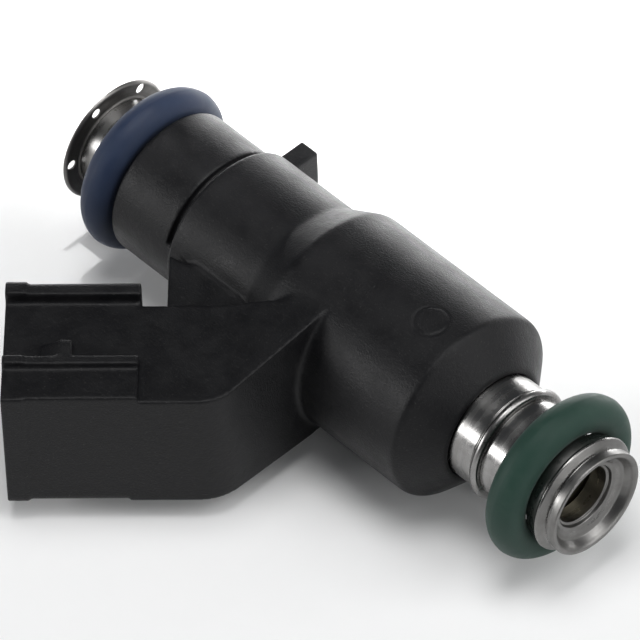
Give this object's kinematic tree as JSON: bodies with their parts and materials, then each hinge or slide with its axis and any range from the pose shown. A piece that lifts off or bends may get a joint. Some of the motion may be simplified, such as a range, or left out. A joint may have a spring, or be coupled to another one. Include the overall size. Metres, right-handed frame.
{
  "type": "fuel injector",
  "caption": "Top-feed port fuel injector with an angled electrical connector, steel inlet and nozzle tubes, two O-rings and a sprung ball valve.",
  "frame": {"origin": "on the injector's own axis, in the plane of the spray tip's end rim", "axes": "+X along the injector axis towards the spray tip, the connector leaves towards -X and -Y in the symmetry plane, +Z square to that plane, so the injector lies on its side"},
  "size_m": [0.0545, 0.0378, 0.0164],
  "materials": {
    "black_plastic": "glass-filled moulding, satin black with a fine grain",
    "tinned_brass": "tin-plated stamped brass",
    "green_rubber": "smooth dark green seal rubber",
    "blue_rubber": "smooth dark blue seal rubber",
    "turned_steel": "turned and polished stainless steel",
    "dark_steel": "pressed steel, darker and duller than the tubes",
    "brown_plastic": "natural brown nylon",
    "copper": "enamelled copper wire",
    "white_plastic": "off-white nylon filter moulding"
  },
  "bodies": {
    "injector_body": {"overmoulded_body": "black_plastic", "near_terminal": "tinned_brass", "far_terminal": "tinned_brass", "lower_o_ring": "green_rubber", "upper_o_ring": "blue_rubber", "tip_retainer": "turned_steel", "valve_body_tube": "turned_steel", "inlet_tube": "turned_steel", "inlet_flange_ring": "dark_steel", "coil_can": "dark_steel", "upper_flux_washer": "dark_steel", "coil_bobbin": "brown_plastic", "coil_winding": "copper", "nonmagnetic_sleeve": "turned_steel", "pole_piece": "dark_steel", "spring_adjuster": "turned_steel", "return_spring": "turned_steel", "valve_seat": "turned_steel", "ball_guide": "turned_steel", "spray_plate": "dark_steel", "filter_rim": "brown_plastic", "filter_basket": "white_plastic"},
    "valve_group": {"armature": "dark_steel", "needle_tube": "turned_steel", "valve_ball": "turned_steel"}
  },
  "joints": [
    {"name": "valve_lift", "type": "slide", "parent": "injector_body", "child": "valve_group", "axis": [-1, 0, 0], "range_m": [0, 0.0001], "stiffness_N_per_m": 3000, "springref_m": -0.0006, "deforming": ["return_spring"]}
  ]
}
